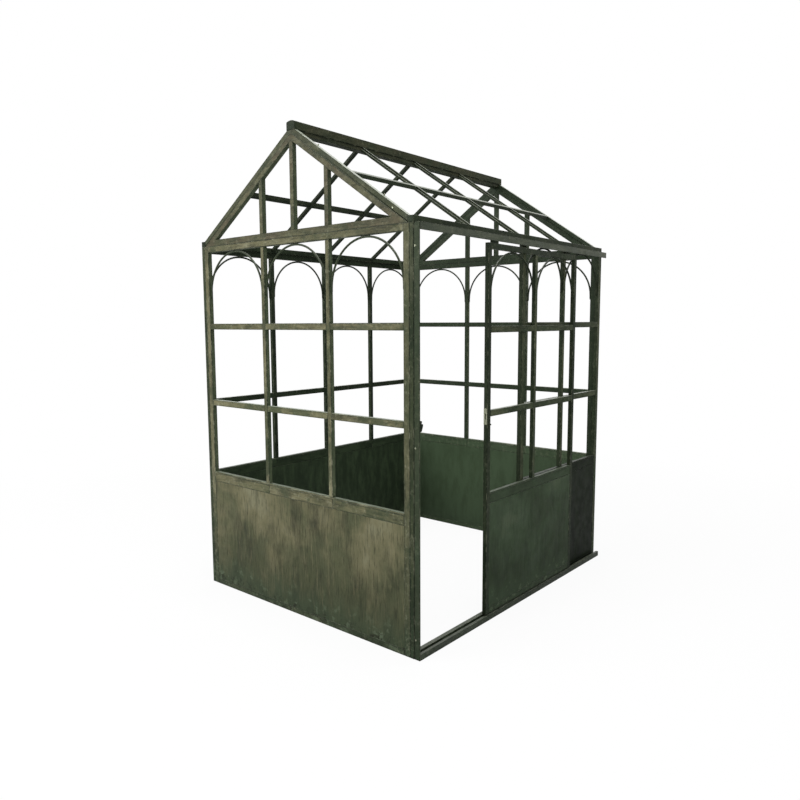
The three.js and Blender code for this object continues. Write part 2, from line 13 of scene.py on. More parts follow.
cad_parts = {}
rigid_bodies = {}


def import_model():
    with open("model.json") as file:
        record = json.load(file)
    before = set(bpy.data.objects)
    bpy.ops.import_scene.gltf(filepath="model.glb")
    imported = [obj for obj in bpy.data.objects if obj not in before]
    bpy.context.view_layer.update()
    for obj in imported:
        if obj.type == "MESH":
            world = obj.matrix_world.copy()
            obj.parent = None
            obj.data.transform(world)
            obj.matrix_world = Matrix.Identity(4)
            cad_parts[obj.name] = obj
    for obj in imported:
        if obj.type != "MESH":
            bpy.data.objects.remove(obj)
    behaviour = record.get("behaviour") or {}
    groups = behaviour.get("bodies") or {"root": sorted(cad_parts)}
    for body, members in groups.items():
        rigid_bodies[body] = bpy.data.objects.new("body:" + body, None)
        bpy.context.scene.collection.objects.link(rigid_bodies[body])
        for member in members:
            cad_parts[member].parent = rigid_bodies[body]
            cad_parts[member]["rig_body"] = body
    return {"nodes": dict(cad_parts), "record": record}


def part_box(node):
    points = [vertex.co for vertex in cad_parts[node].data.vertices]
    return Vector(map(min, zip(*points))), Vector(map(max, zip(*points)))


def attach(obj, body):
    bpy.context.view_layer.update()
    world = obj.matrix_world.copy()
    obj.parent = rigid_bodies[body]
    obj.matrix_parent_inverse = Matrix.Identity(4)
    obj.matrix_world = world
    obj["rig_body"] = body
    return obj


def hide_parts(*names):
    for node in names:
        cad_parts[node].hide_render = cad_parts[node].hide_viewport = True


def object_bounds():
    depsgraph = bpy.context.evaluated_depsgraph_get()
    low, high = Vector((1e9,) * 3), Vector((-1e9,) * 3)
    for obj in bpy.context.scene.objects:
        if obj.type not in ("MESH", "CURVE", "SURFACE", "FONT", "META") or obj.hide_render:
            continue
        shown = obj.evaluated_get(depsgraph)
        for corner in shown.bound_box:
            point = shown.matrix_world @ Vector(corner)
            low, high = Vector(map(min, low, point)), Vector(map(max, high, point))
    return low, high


bl_info = {
    "name": "Victorian greenhouse",
    "version": (1, 0, 0),
    "blender": (4, 5, 0),
    "location": "View3D > Sidebar > Greenhouse",
    "description": "Dresses a steel greenhouse with paint, welds, fixings and wear",
    "category": "Object",
}

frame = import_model()
CAD_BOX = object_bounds()
SLOTS = {part["node"]: part["material_slot"] for part in frame["record"]["subparts"]}
MM = 0.001
UP = Vector((0, 0, 1))
ALONG_X = Vector((1, 0, 0))
ALONG_Y = Vector((0, 1, 0))
# How members are painted: (least painted shade, less dust and painted top light, showing brown primer,
# brightness).
PLAIN = (0.0, 0.7, 0.0, 1.0)
LIES = {
    "stile_by_door": (0.22, 0.7, 0.0, 1.0),
    "gable_bars": (0.0, 0.7, 0.0, 1.16),
    "side_top_rail": (0.3, 0.7, 0.0, 0.85),
    # The fixed dado behind the door: painted shade, darker and in shade green all over.
    "fixed_dado": (1.0, 0.7, 0.0, 0.54),
    "arch_rod": (0.85, 0.4, 0.0, 0.7),
    "door_frame": (0.8, 0.7, 0.0, 0.9),
    "head_track": (0.4, 0.8, 0.0, 0.8),
    "floor_track": (0.7, 0.8, 0.0, 0.9),
    "jamb": (0.9, 0.7, 0.0, 0.66),
    "keeper": (1.0, 1.0, 0.0, 0.9),
    "eaves": (0.6, 0.7, 0.0, 0.9),
    "roof_bars": (0.0, 0.5, 0.0, 0.85),
    "end_rafter": (0.45, 0.0, 0.2, 0.85),
    "truss": (0.2, 0.0, 0.7, 0.88),
    "ridge": (0.2, 0.0, 0.3, 0.75),
}
# Dust and painted top light: a dado's lip takes almost none of either.
LIP_LESS_DUST_AND_TOP_LIGHT = 0.92  # a dado's lip is rubbed nearly clean of dust
# Painted shade: how bright the paint is made on faces turned away from the outside, darker on frames and
# roof, lighter on the dados' shade green.
GABLE_PAINTED_SHADE = 0.55
ROOF_PAINTED_SHADE = 0.6
DADO_PAINTED_SHADE = 1.5


def linear(code):
    """An sRGB hex colour as linear red, green and blue."""
    parts = [int(code[i : i + 2], 16) / 255 for i in (0, 2, 4)]
    return tuple(c / 12.92 if c <= 0.04045 else ((c + 0.055) / 1.055) ** 2.4 for c in parts)


# ---------------------------------------------------------------- settings


class GreenhouseSizes(bpy.types.PropertyGroup):
    """Sizes of the fine detail, and the glazing bars' places between the frame members."""

    tube_round: FloatProperty(
        name="Tube corner", description="Radius of a tube's corners", default=1.4 * MM, unit="LENGTH"
    )
    slope_round: FloatProperty(
        name="Truss corner",
        description="Radius of the trusses' and end rafters' corners",
        default=2.2 * MM,
        unit="LENGTH",
    )
    # Grime and painted shade: the dark band along a member's edges.
    grime_band: FloatProperty(
        name="Grime",
        description="Width of the dirt that gathers along a member's edges",
        default=4 * MM,
        unit="LENGTH",
    )
    sheet_round: FloatProperty(
        name="Sheet corner",
        description="Radius of a folded sheet's edges",
        default=0.8 * MM,
        unit="LENGTH",
    )
    bar_width: FloatProperty(
        name="Glazing bar", description="Width of a mullion", default=27 * MM, unit="LENGTH"
    )
    transom_height: FloatProperty(
        name="Transom", description="Height of a transom", default=33 * MM, unit="LENGTH"
    )
    lower_transom: FloatProperty(
        name="Lower transom", description="Height of its centre", default=1100 * MM, unit="LENGTH"
    )
    upper_transom: FloatProperty(
        name="Upper transom", description="Height of its centre", default=1544 * MM, unit="LENGTH"
    )
    door_transom: FloatProperty(
        name="Door's upper transom",
        description="Height of its centre",
        default=1527 * MM,
        unit="LENGTH",
    )
    gable_mullion: FloatProperty(
        name="Gable mullions", description="From the gable's middle", default=247 * MM, unit="LENGTH"
    )
    side_mullion: FloatProperty(
        name="Side mullions",
        description="Between a long wall's mullions",
        default=460 * MM,
        unit="LENGTH",
    )
    roof_peak: FloatProperty(
        name="Roof peak",
        description="Height at which the slopes' top faces meet",
        default=2.5405,
        unit="LENGTH",
    )
    roof_slope: FloatProperty(
        name="Roof slope", description="Fall of the roof for each metre across", default=0.67
    )
    rod_radius: FloatProperty(
        name="Arch rod", description="Radius of an arch's rod", default=5.4 * MM, unit="LENGTH"
    )
    arch_leg: FloatProperty(
        name="Arch leg", description="Straight length under an arch", default=25 * MM, unit="LENGTH"
    )
    dado_rail: FloatProperty(
        name="Dado rail", description="Height of the dado's top rail", default=57 * MM, unit="LENGTH"
    )
    dado_lip: FloatProperty(
        name="Dado lip",
        description="Height of the folded lip on a dado rail",
        default=7 * MM,
        unit="LENGTH",
    )
    dado_foot: FloatProperty(
        name="Dado foot", description="Height of the dado's bottom rail", default=30 * MM, unit="LENGTH"
    )
    weld_radius: FloatProperty(
        name="Weld bead", description="Radius of a transom's weld bead", default=1.82 * MM, unit="LENGTH"
    )
    foot_weld_radius: FloatProperty(
        name="Foot bead", description="Radius of the bead at a mullion's foot", default=2 * MM, unit="LENGTH"
    )
    screw_radius: FloatProperty(
        name="Screw head", description="Radius of a screw's head", default=5 * MM, unit="LENGTH"
    )
    fitting_round: FloatProperty(
        name="Fitting corner",
        description="Radius of a small fitting's edges",
        default=0.6 * MM,
        unit="LENGTH",
    )
    arch_steps: IntProperty(name="Arch steps", description="Steps in an arch's half circle", default=28)


class GreenhouseColours(bpy.types.PropertyGroup):
    """The paints and what shows through them."""

    olive: FloatVectorProperty(
        name="Olive", description="Weathered gable paint", subtype="COLOR", default=linear("4b4f39")
    )
    tan: FloatVectorProperty(
        name="Tan", description="Rubbed, sun-bleached paint", subtype="COLOR", default=linear("6e6a50")
    )
    umber: FloatVectorProperty(
        name="Umber", description="Dark brown-green blotches", subtype="COLOR", default=linear("2a2c21")
    )
    # Moss is also the gables' painted shade green on faces turned away from the outside.
    moss: FloatVectorProperty(
        name="Moss", description="Green near the ground", subtype="COLOR", default=linear("3c4a37")
    )
    bottle: FloatVectorProperty(
        name="Bottle green",
        description="Dark paint of the long sides",
        subtype="COLOR",
        default=linear("2f3a29"),
    )
    # Shade green is painted shade on faces turned away from the outside, the grime and painted shade along
    # edges, and dark blotches.
    shade: FloatVectorProperty(
        name="Shade green",
        description="Paint that no weather reaches",
        subtype="COLOR",
        default=linear("1a2118"),
    )
    pewter: FloatVectorProperty(
        name="Pewter green",
        description="Handled paint of the tracks",
        subtype="COLOR",
        default=linear("454f41"),
    )
    # Chalk is also a painted highlight on the worn corners.
    chalk: FloatVectorProperty(
        name="Chalk",
        description="Pale edges where the paint has worn thin",
        subtype="COLOR",
        default=linear("96977f"),
    )
    lichen: FloatVectorProperty(
        name="Lichen",
        description="Pale grey-green growth near the ground",
        subtype="COLOR",
        default=linear("6d7a63"),
    )
    earth: FloatVectorProperty(
        name="Earth",
        description="Brown primer showing on the trusses",
        subtype="COLOR",
        default=linear("5a4d3e"),
    )
    # Dust, and painted top light: upward faces are laid over with this pale colour, as if lit from above.
    dust: FloatVectorProperty(
        name="Dust",
        description="What settles on upward faces",
        subtype="COLOR",
        default=linear("b2b8a6"),
    )
    steel: FloatVectorProperty(
        name="Bare steel", description="Rubbed steel", subtype="COLOR", default=linear("8d917b")
    )
    rust: FloatVectorProperty(
        name="Rust",
        description="Stain on bare steel",
        subtype="COLOR",
        default=linear("43402f"),
    )


def sizes():
    return bpy.context.scene.greenhouse_sizes


def colours():
    return bpy.context.scene.greenhouse_colours


# --------------------------------------------------------------- materials

# Patterns of wear: millimetres across, then the detail, roughness and swirl of the noise that draws them,
# and the two values of it between which they set in.
PATTERNS = {
    "primer": (120, 6.0, 0.6, 0.0, 0.35, 0.6),
    "mottle": (90, 8.0, 0.62, 0.3, 0.44, 0.74),
    "pale_strokes": (14, 5.0, 0.7, 0.0, 0.5, 0.72),
    "dark_strokes": (9, 5.0, 0.7, 0.0, 0.48, 0.7),
    "lichen": (60, 7.0, 0.7, 0.0, 0.52, 0.64),
    "scuffs": (35, 7.0, 0.75, 0.6, 0.5, 0.6),
    "painted_shade_brush": (60, 6.0, 0.65, 0.0, 0.38, 0.68),
    "grime_and_shade": (70, 6.0, 0.7, 0.0, 0.35, 0.6),
    "rubbed_and_highlit_corners": (55, 6.0, 0.7, 0.0, 0.5, 0.62),
    "lifted_flakes": (24, 10.0, 0.8, 0.0, 0.5, 0.72),
    "stuck_dirt": (40, 10.0, 0.8, 0.0, 0.48, 0.68),
    "older_coat": (190, 8.0, 0.7, 0.3, 0.5, 0.6),
    "dust": (30, 5.0, 0.55, 0.0, 0.3, 0.6),
    "uneven_gloss": (60, 4.0, 0.55, 0.0, 0.3, 0.7),
    "rust_stain": (9, 5.0, 0.55, 0.0, 0.5, 0.62),
    "rubbed_bright": (4, 4.0, 0.55, 0.0, 0.3, 0.7),
}
MIXED_COLOURS = {"data_type": "RGBA"}


def add_node(tree, kind, settings=None, inputs=None):
    """Adds one node. inputs maps a socket's name or number to a value or to an output socket."""
    made = tree.nodes.new(kind)
    for key, value in (settings or {}).items():
        setattr(made, key, value)
    for key, value in (inputs or {}).items():
        if isinstance(value, bpy.types.NodeSocket):
            tree.links.new(value, made.inputs[key])
        elif made.inputs[key].type == "RGBA":
            made.inputs[key].default_value = (*value[:3], 1)
        else:
            made.inputs[key].default_value = value
    return made


def per_mm(size):
    """Noise scale whose features are this many millimetres across."""
    return 1 / (size * MM)


def empty_material(name):
    """A material without nodes, and its tree."""
    material = bpy.data.materials.new(name)
    material.use_nodes = True
    material.node_tree.nodes.clear()
    return material, material.node_tree


def showing(tree, value, low, high, share=1.0, least=0.0, most=1.0):
    """How strongly a layer shows: from least to most, softly, as a value goes from low to high.

    That is then times the layer's share, which is a number or another layer's strength.
    """
    strength = add_node(
        tree,
        "ShaderNodeMapRange",
        {"interpolation_type": "SMOOTHSTEP"},
        {"Value": value, "From Min": low, "From Max": high, "To Min": least, "To Max": most},
    ).outputs["Result"]
    return add_node(tree, "ShaderNodeMath", {"operation": "MULTIPLY"}, {0: strength, 1: share}).outputs[0]


def patches(tree, place, pattern, share=1.0, least=0.0, most=1.0):
    """How strongly a pattern of wear shows at a place."""
    size, detail, rough, swirl, low, high = PATTERNS[pattern]
    noise = add_node(
        tree,
        "ShaderNodeTexNoise",
        {},
        {"Vector": place, "Scale": per_mm(size), "Detail": detail, "Roughness": rough, "Distortion": swirl},
    ).outputs["Fac"]
    return showing(tree, noise, low, high, share, least, most)


def coat(tree, beneath, over, place, pattern, share=1.0, least=0.0, most=1.0):
    """Lays a colour over what is beneath it, where a pattern of wear shows."""
    shown = patches(tree, place, pattern, share, least, most)
    return add_node(tree, "ShaderNodeMix", MIXED_COLOURS, {0: shown, 6: beneath, 7: over}).outputs[2]


def worn_paint(name, coats, shares, roughness, sheen):
    """Brushed enamel on steel, read off each member's own tone, edges and lie.

    coats are the main, rubbed, blotch, painted shade and edge colours. shares say how strongly the rubbed
    coat, the blotches, the pale edges with their painted highlight, the lifted flakes and the brush marks
    show.
    """
    c = colours()
    material, tree = empty_material(name)
    at = add_node(tree, "ShaderNodeTexCoord").outputs["Object"]
    height = add_node(tree, "ShaderNodeSeparateXYZ", {}, {"Vector": at}).outputs["Z"]
    member = add_node(tree, "ShaderNodeAttribute", {"attribute_name": "tone"}).outputs
    worn_and_shaded_edges = add_node(tree, "ShaderNodeAttribute", {"attribute_name": "wear_and_edge_shading"}).outputs["Fac"]
    painted = add_node(tree, "ShaderNodeAttribute", {"attribute_name": "lie"}).outputs
    brushed = add_node(tree, "ShaderNodeAttribute", {"attribute_name": "grain"}).outputs
    lie = add_node(tree, "ShaderNodeSeparateColor", {}, {"Color": painted["Color"]}).outputs
    painted_shade, dusty_and_top_lit, primed = lie["Red"], lie["Green"], lie["Blue"]
    # Each member was painted by itself, so its pattern is shifted against its neighbours'.
    shift = add_node(
        tree, "ShaderNodeVectorMath", {"operation": "MULTIPLY_ADD"},
        {0: member["Color"], 1: (3.1, 4.7, 2.3), 2: at},
    ).outputs[0]
    # Brush marks run along the member; fine strokes run further than broad ones.
    drawn_out = {"operation": "MULTIPLY"}
    brush = add_node(tree, "ShaderNodeVectorMath", drawn_out, {0: shift, 1: brushed["Color"]}).outputs[0]
    strokes = add_node(tree, "ShaderNodeVectorMath", drawn_out, {0: brush, 1: brushed["Color"]}).outputs[0]

    # Rubbed coat in clouds, more of it higher up, and bleached at their hearts.
    drift = add_node(
        tree, "ShaderNodeTexNoise", {},
        {"Vector": shift, "Scale": per_mm(330), "Detail": 8.0, "Roughness": 0.6, "Distortion": 0.3},
    ).outputs["Fac"]
    rise = showing(tree, height, 0.15, 0.6, least=-0.08, most=0.06)
    cloud = add_node(tree, "ShaderNodeMath", {"operation": "ADD"}, {0: drift, 1: rise}).outputs[0]
    rubbed = showing(tree, cloud, 0.4, 0.62, shares["rubbed"])
    bleached = showing(tree, cloud, 0.56, 0.72, 0.42 * shares["edge"] * shares["rubbed"])
    colour = coats["main"]
    for shown, over in ((rubbed, coats["rubbed"]), (bleached, coats["edge"])):
        colour = add_node(tree, "ShaderNodeMix", MIXED_COLOURS, {0: shown, 6: colour, 7: over}).outputs[2]
    # Brown primer where a member shows it, dark blotches, and pale and dark strokes of the brush.
    colour = coat(tree, colour, c.earth, shift, "primer", primed)
    colour = coat(tree, colour, coats["blotch"], brush, "mottle", shares["blotch"])
    colour = coat(tree, colour, coats["rubbed"], strokes, "pale_strokes", shares["brush"] * shares["rubbed"])
    colour = coat(tree, colour, coats["blotch"], strokes, "dark_strokes", shares["brush"] * shares["blotch"])

    # Greener and scuffed near the ground, up to a ragged line about 0.2 m high.
    ragged = add_node(
        tree, "ShaderNodeTexNoise", {},
        {"Vector": brush, "Scale": per_mm(80), "Detail": 6.0, "Roughness": 0.65, "Distortion": 0.0},
    ).outputs["Fac"]
    level = add_node(
        tree, "ShaderNodeMath", {"operation": "MULTIPLY_ADD"}, {0: ragged, 1: 0.22, 2: height}
    ).outputs[0]
    mossy = showing(tree, level, 0.12, 0.34, least=0.75, most=0.0)
    colour = add_node(tree, "ShaderNodeMix", MIXED_COLOURS, {0: mossy, 6: colour, 7: c.moss}).outputs[2]
    damp = showing(tree, level, 0.14, 0.3, least=0.55, most=0.0)
    colour = coat(tree, colour, c.lichen, shift, "lichen", damp)
    kicked = showing(tree, level, 0.13, 0.2, least=0.9, most=0.0)
    colour = coat(tree, colour, c.umber, at, "scuffs", kicked)

    # Painted shade: faces turned away from the outside, and members given a share of it, take the darker
    # shade green, with the same brush marks.
    painted_shade_green = coat(tree, coats["painted_shade"], c.bottle, brush, "painted_shade_brush", least=0.15, most=0.7)
    colour = add_node(tree, "ShaderNodeMix", MIXED_COLOURS, {0: painted_shade, 6: colour, 7: painted_shade_green}).outputs[2]

    # Grime and painted shade lie along the edges; the corners themselves are rubbed pale, which is also a
    # painted highlight.
    colour = coat(tree, colour, c.shade, shift, "grime_and_shade", worn_and_shaded_edges, least=0.6)
    corner = showing(tree, worn_and_shaded_edges, 0.75, 0.95, shares["edge"])
    colour = coat(tree, colour, coats["edge"], shift, "rubbed_and_highlit_corners", corner)
    # On the narrow members small flakes have lifted in patches, and dirt or an older coat shows in others.
    narrow = add_node(
        tree, "ShaderNodeMath", {"operation": "MULTIPLY"}, {0: brushed["Alpha"], 1: shares["flake"]}
    ).outputs[0]
    flaked = showing(tree, painted_shade, 0.0, 1.0, narrow, least=1.0, most=0.5)
    colour = coat(tree, colour, coats["edge"], shift, "lifted_flakes", flaked)
    colour = coat(tree, colour, coats["blotch"], brush, "stuck_dirt", flaked)
    colour = coat(tree, colour, c.bottle, shift, "older_coat", flaked)
    # Dust and painted top light: upward faces are laid over with the pale dust colour.
    colour = coat(tree, colour, c.dust, shift, "dust", dusty_and_top_lit, least=0.55)
    # Every member differs a little in value, and all are darker low down.
    value = showing(tree, height, 0.05, 0.55, painted["Alpha"], least=0.82, most=1.06)
    value = showing(tree, member["Fac"], 0.0, 1.0, value, least=0.88, most=1.12)
    colour = add_node(
        tree, "ShaderNodeHueSaturation", {}, {"Color": colour, "Value": value}
    ).outputs["Color"]

    # Water lies on upward faces and leaves them smooth.
    uneven = patches(tree, shift, "uneven_gloss", least=roughness - 0.1, most=roughness + 0.1)
    scaled = {"operation": "MULTIPLY_ADD"}
    gloss, mirror = (
        add_node(tree, "ShaderNodeMath", scaled, {0: dusty_and_top_lit, 1: change, 2: dry}).outputs[0]
        for change, dry in ((-0.35, uneven), (0.7, sheen))
    )
    # Brush marks and grit, drawn a few millimetres coarse so that they show.
    grit = add_node(
        tree, "ShaderNodeTexNoise", {},
        {"Vector": brush, "Scale": per_mm(6), "Detail": 4.0, "Roughness": 0.6, "Distortion": 0.0},
    ).outputs["Fac"]
    bump = add_node(
        tree, "ShaderNodeBump", {}, {"Strength": 0.4, "Distance": 0.7 * MM, "Height": grit}
    ).outputs["Normal"]
    shader = add_node(
        tree, "ShaderNodeBsdfPrincipled", {},
        {
            "Base Color": colour, "Roughness": gloss, "Normal": bump, "IOR": 1.5,
            "Specular IOR Level": mirror, "Metallic": 0.0,
        },
    )
    add_node(tree, "ShaderNodeOutputMaterial", {}, {"Surface": shader.outputs["BSDF"]})
    return material


def weathered_gable_enamel():
    # Olive enamel that sun and rain have rubbed to tan in clouds: matt and brushed, with chalky edges that
    # are partly painted highlight.
    c = colours()
    coats = {"main": c.olive, "rubbed": c.tan, "blotch": c.umber, "painted_shade": c.moss, "edge": c.chalk}
    shares = {"rubbed": 0.8, "blotch": 0.85, "edge": 0.7, "flake": 0.6, "brush": 0.85}
    return worn_paint("weathered_gable_enamel", coats, shares, roughness=0.5, sheen=0.08)


def dark_frame_enamel():
    # Bottle-green enamel on the long sides: darker and smoother, with thin pale wear and painted highlight
    # on the corners.
    c = colours()
    coats = {"main": c.bottle, "rubbed": c.olive, "blotch": c.shade, "painted_shade": c.shade, "edge": c.chalk}
    shares = {"rubbed": 0.55, "blotch": 0.8, "edge": 0.5, "flake": 0.35, "brush": 0.8}
    return worn_paint("dark_frame_enamel", coats, shares, roughness=0.42, sheen=0.05)


def dado_sheet_enamel():
    # The same green on broad sheet: soft cloudy patches from the brush, with hardly a flake.
    c = colours()
    coats = {"main": c.bottle, "rubbed": c.moss, "blotch": c.shade, "painted_shade": c.shade, "edge": c.chalk}
    shares = {"rubbed": 0.72, "blotch": 0.5, "edge": 0.22, "flake": 0.06, "brush": 0.6}
    return worn_paint("dado_sheet_enamel", coats, shares, roughness=0.45, sheen=0.04)


def track_enamel():
    # Grey-green enamel that the door's rollers and hands have polished along its edges, pale there as wear
    # and painted highlight.
    c = colours()
    coats = {"main": c.pewter, "rubbed": c.chalk, "blotch": c.bottle, "painted_shade": c.shade, "edge": c.chalk}
    shares = {"rubbed": 0.3, "blotch": 0.8, "edge": 0.6, "flake": 0.35, "brush": 0.7}
    return worn_paint("track_enamel", coats, shares, roughness=0.4, sheen=0.15)


def rubbed_steel():
    # Mild steel rubbed bright by use: metallic, with rust stain in patches.
    c = colours()
    material, tree = empty_material("rubbed_steel")
    at = add_node(tree, "ShaderNodeTexCoord").outputs["Object"]
    colour = coat(tree, c.steel, c.rust, at, "rust_stain", 0.55)
    gloss = patches(tree, at, "rubbed_bright", least=0.3, most=0.55)
    shader = add_node(
        tree, "ShaderNodeBsdfPrincipled", {}, {"Base Color": colour, "Roughness": gloss, "Metallic": 0.5}
    )
    add_node(tree, "ShaderNodeOutputMaterial", {}, {"Surface": shader.outputs["BSDF"]})
    return material


FINISHES = {
    "gable_paint": weathered_gable_enamel,
    "frame_paint": dark_frame_enamel,
    "dado_paint": dado_sheet_enamel,
    "track_paint": track_enamel,
    "bare_steel": rubbed_steel,
}


def finish_for(slot):
    """The material of a slot, made once."""
    made = FINISHES[slot]
    return bpy.data.materials.get(made.__name__) or made()


# ------------------------------------------------------------ mesh helpers

tones = random.Random(11)

SIDEWAYS = 0.5  # faces that look out or in by less than this are side faces
# Painted shade on side faces: most of the shade green.
SIDE_PAINTED_SHADE = 0.8
BRUSH_STRETCH = 0.32  # patterns along a member, against their scale across it
# Grime and painted shade on the bands beside a worn edge.
GRIME_AND_SHADE_WEAR = 0.85
SHEET_FLAKES = 0.06  # how much a broad sheet flakes, against a narrow member
BAND_FIT = 2.6  # a face this many bands wide has room for one along each edge
FOLD_LIMIT = 0.12  # past this share of its area, a face has folded over as it was inset
SHARP_EDGE = 0.3  # radians
BEVEL_STEPS = 2
LOOSE = 0.02 * MM  # points closer than this are one
ROD_SIDES = 10
ROD_TAPER = 0.55
TAPERED_LEG = 0.4  # the share of an arch's leg that tapers
BEAD_PROUD = 0.3 * MM  # a weld bead stands this far out of the bars' faces
ROD_SINK = 0.6 * MM  # an arch's rod stands this far into the mullions


def start_mesh():
    """An empty mesh with the layers that the paint reads."""
    bm = bmesh.new()
    bm.loops.layers.float.new("wear_and_edge_shading")
    bm.loops.layers.float_color.new("tone")
    bm.loops.layers.float_color.new("lie")
    bm.loops.layers.float_color.new("grain")
    return bm


def expose(bm, out, painted_light_inside):
    """Notes how each face lies: red for painted shade, and green where it faces up, for dust and painted top
    light.

    out is the side that faces outwards; painted_light_inside is the brightness painted on the faces turned
    away from it.
    """
    layer = bm.loops.layers.float_color["lie"]
    bm.normal_update()
    for face in bm.faces:
        facing = face.normal.dot(out)
        # Painted shade: faces turned away from out take the shade green fully, and side faces mostly.
        painted_shade_share = 0.0 if facing > SIDEWAYS else SIDE_PAINTED_SHADE if facing > -SIDEWAYS else 1.0
        shade = painted_light_inside if facing < -SIDEWAYS else 1
        dust = max(0.0, face.normal.z) ** 2
        for loop in face.loops:
            least_painted_shade, less_dust_and_top_light, warm, bright = loop[layer]
            loop[layer] = (max(painted_shade_share, least_painted_shade), dust * (1 - less_dust_and_top_light), warm, bright * shade)


def mark(bm, lie=PLAIN, worn_faces=(), grimed_and_shaded=(), broad=False):
    """Gives a member its own tone, and marks its edges for wear and painted highlight,
    and the bands beside them for grime and painted shade.

    It is brushed along its length, or up and down on a broad sheet, which flakes much less.
    """
    wear_and_edge_shading = bm.loops.layers.float["wear_and_edge_shading"]
    tone = bm.loops.layers.float_color["tone"]
    layer = bm.loops.layers.float_color["lie"]
    grain = bm.loops.layers.float_color["grain"]
    colour = (tones.random(), tones.random(), tones.random(), 1)
    size = [max(v.co[axis] for v in bm.verts) - min(v.co[axis] for v in bm.verts) for axis in range(3)]
    along = 2 if broad else size.index(max(size))
    brushed = [BRUSH_STRETCH if axis == along else 1.0 for axis in range(3)]
    worn_and_shaded_edges = set(worn_faces)
    edge_verts = {v for face in worn_and_shaded_edges for v in face.verts}
    grimed_and_shaded = {face for face in grimed_and_shaded if any(f in worn_and_shaded_edges for e in face.edges for f in e.link_faces)}
    for face in bm.faces:
        for loop in face.loops:
            dirt_and_shade = face in grimed_and_shaded and loop.vert in edge_verts
            loop[wear_and_edge_shading] = 1.0 if face in worn_and_shaded_edges else GRIME_AND_SHADE_WEAR if dirt_and_shade else 0.0
            loop[tone] = colour
            loop[layer] = lie
            loop[grain] = (*brushed, SHEET_FLAKES if broad else 1)


def has_room(face, band):
    """Whether a band fits inside a face: when it is inset by itself, its triangles must still add up."""
    if 2 * face.calc_area() / face.calc_perimeter() < BAND_FIT * band:
        return False
    trial = bmesh.new()
    alone = trial.faces.new([trial.verts.new(v.co) for v in face.verts])
    trial.normal_update()
    bmesh.ops.inset_individual(trial, faces=[alone], thickness=band, use_even_offset=True)
    area = sum(area_tri(*(loop.vert.co for loop in triangle)) for triangle in trial.calc_loop_triangles())
    trial.free()
    return abs(area / face.calc_area() - 1) < FOLD_LIMIT


def round_edges(bm, radius, lie=PLAIN):
    """Bevels sharp edges for wear and painted highlight, and insets a band for grime and painted shade."""
    bm.normal_update()
    sharp = [e for e in bm.edges if len(e.link_faces) == 2 and e.calc_face_angle(0) > SHARP_EDGE]
    made = bmesh.ops.bevel(
        bm, geom=sharp, offset=radius, offset_type="OFFSET", segments=BEVEL_STEPS,
        profile=0.5, affect="EDGES", clamp_overlap=True, material=-1,
    )
    worn_and_shaded_edges = set(made["faces"])
    band = sizes().grime_band
    flat = [f for f in bm.faces if f not in worn_and_shaded_edges and has_room(f, band)]
    rings = bmesh.ops.inset_individual(bm, faces=flat, thickness=band, use_even_offset=True)["faces"]
    mark(bm, lie, worn_and_shaded_edges, rings)
    return bm


def block(low, high):
    """A plain block along the axes, between two corners."""
    bm = start_mesh()
    place = Matrix.Translation((low + high) / 2) @ Matrix.Diagonal((*(high - low), 1))
    bmesh.ops.create_cube(bm, size=1, matrix=place)
    return bm


def tube(low, high, radius, lie=PLAIN):
    """A straight tube along the axes, between two corners."""
    return round_edges(block(low, high), radius, lie)


def cad_copy(node, radius, lie=PLAIN):
    """A CAD node's shape with its loose triangles merged and its edges rounded."""
    bm = start_mesh()
    bm.from_mesh(frame["nodes"][node].data)
    bmesh.ops.remove_doubles(bm, verts=bm.verts[:], dist=LOOSE)
    bmesh.ops.dissolve_limit(bm, angle_limit=math.radians(1), verts=bm.verts[:], edges=bm.edges[:])
    return round_edges(bm, radius, lie)


def arch(centre, crown, radius, rod, leg, across, steps):
    """A round rod bent to a half circle, with straight legs that taper at their ends."""
    bm = start_mesh()
    spring = crown - rod - radius
    foot = centre - across * radius
    foot.z = spring - leg
    normal = UP.cross(across)
    tapered = TAPERED_LEG * leg
    straight = leg - tapered
    ring = bmesh.ops.create_circle(
        bm, segments=ROD_SIDES, radius=rod * ROD_TAPER, matrix=Matrix.Translation(foot)
    )

    def push(edges, rise, spread):
        made = bmesh.ops.extrude_edge_only(bm, edges=edges)["geom"]
        points = [v for v in made if isinstance(v, bmesh.types.BMVert)]
        bmesh.ops.translate(bm, verts=points, vec=UP * rise)
        if spread != 1:
            middle = sum((v.co for v in points), Vector()) / len(points)
            bmesh.ops.scale(bm, verts=points, vec=(spread, spread, 1), space=Matrix.Translation(-middle))
        return [e for e in made if isinstance(e, bmesh.types.BMEdge)]

    edges = list({e for v in ring["verts"] for e in v.link_edges})
    bmesh.ops.contextual_create(bm, geom=edges)
    edges = push(edges, tapered, 1 / ROD_TAPER)
    edges = push(edges, straight, 1)
    top = centre.copy()
    top.z = spring
    turned = bmesh.ops.spin(
        bm, geom=edges, cent=top, axis=normal, angle=math.pi, steps=steps, use_merge=False
    )["geom_last"]
    edges = [e for e in turned if isinstance(e, bmesh.types.BMEdge)]
    edges = push(edges, -straight, 1)
    edges = push(edges, -tapered, ROD_TAPER)
    bmesh.ops.contextual_create(bm, geom=edges)
    bmesh.ops.remove_doubles(bm, verts=bm.verts[:], dist=LOOSE)
    bmesh.ops.recalc_face_normals(bm, faces=bm.faces[:])
    mark(bm, LIES["arch_rod"])
    for face in bm.faces:
        face.smooth = True
    return bm


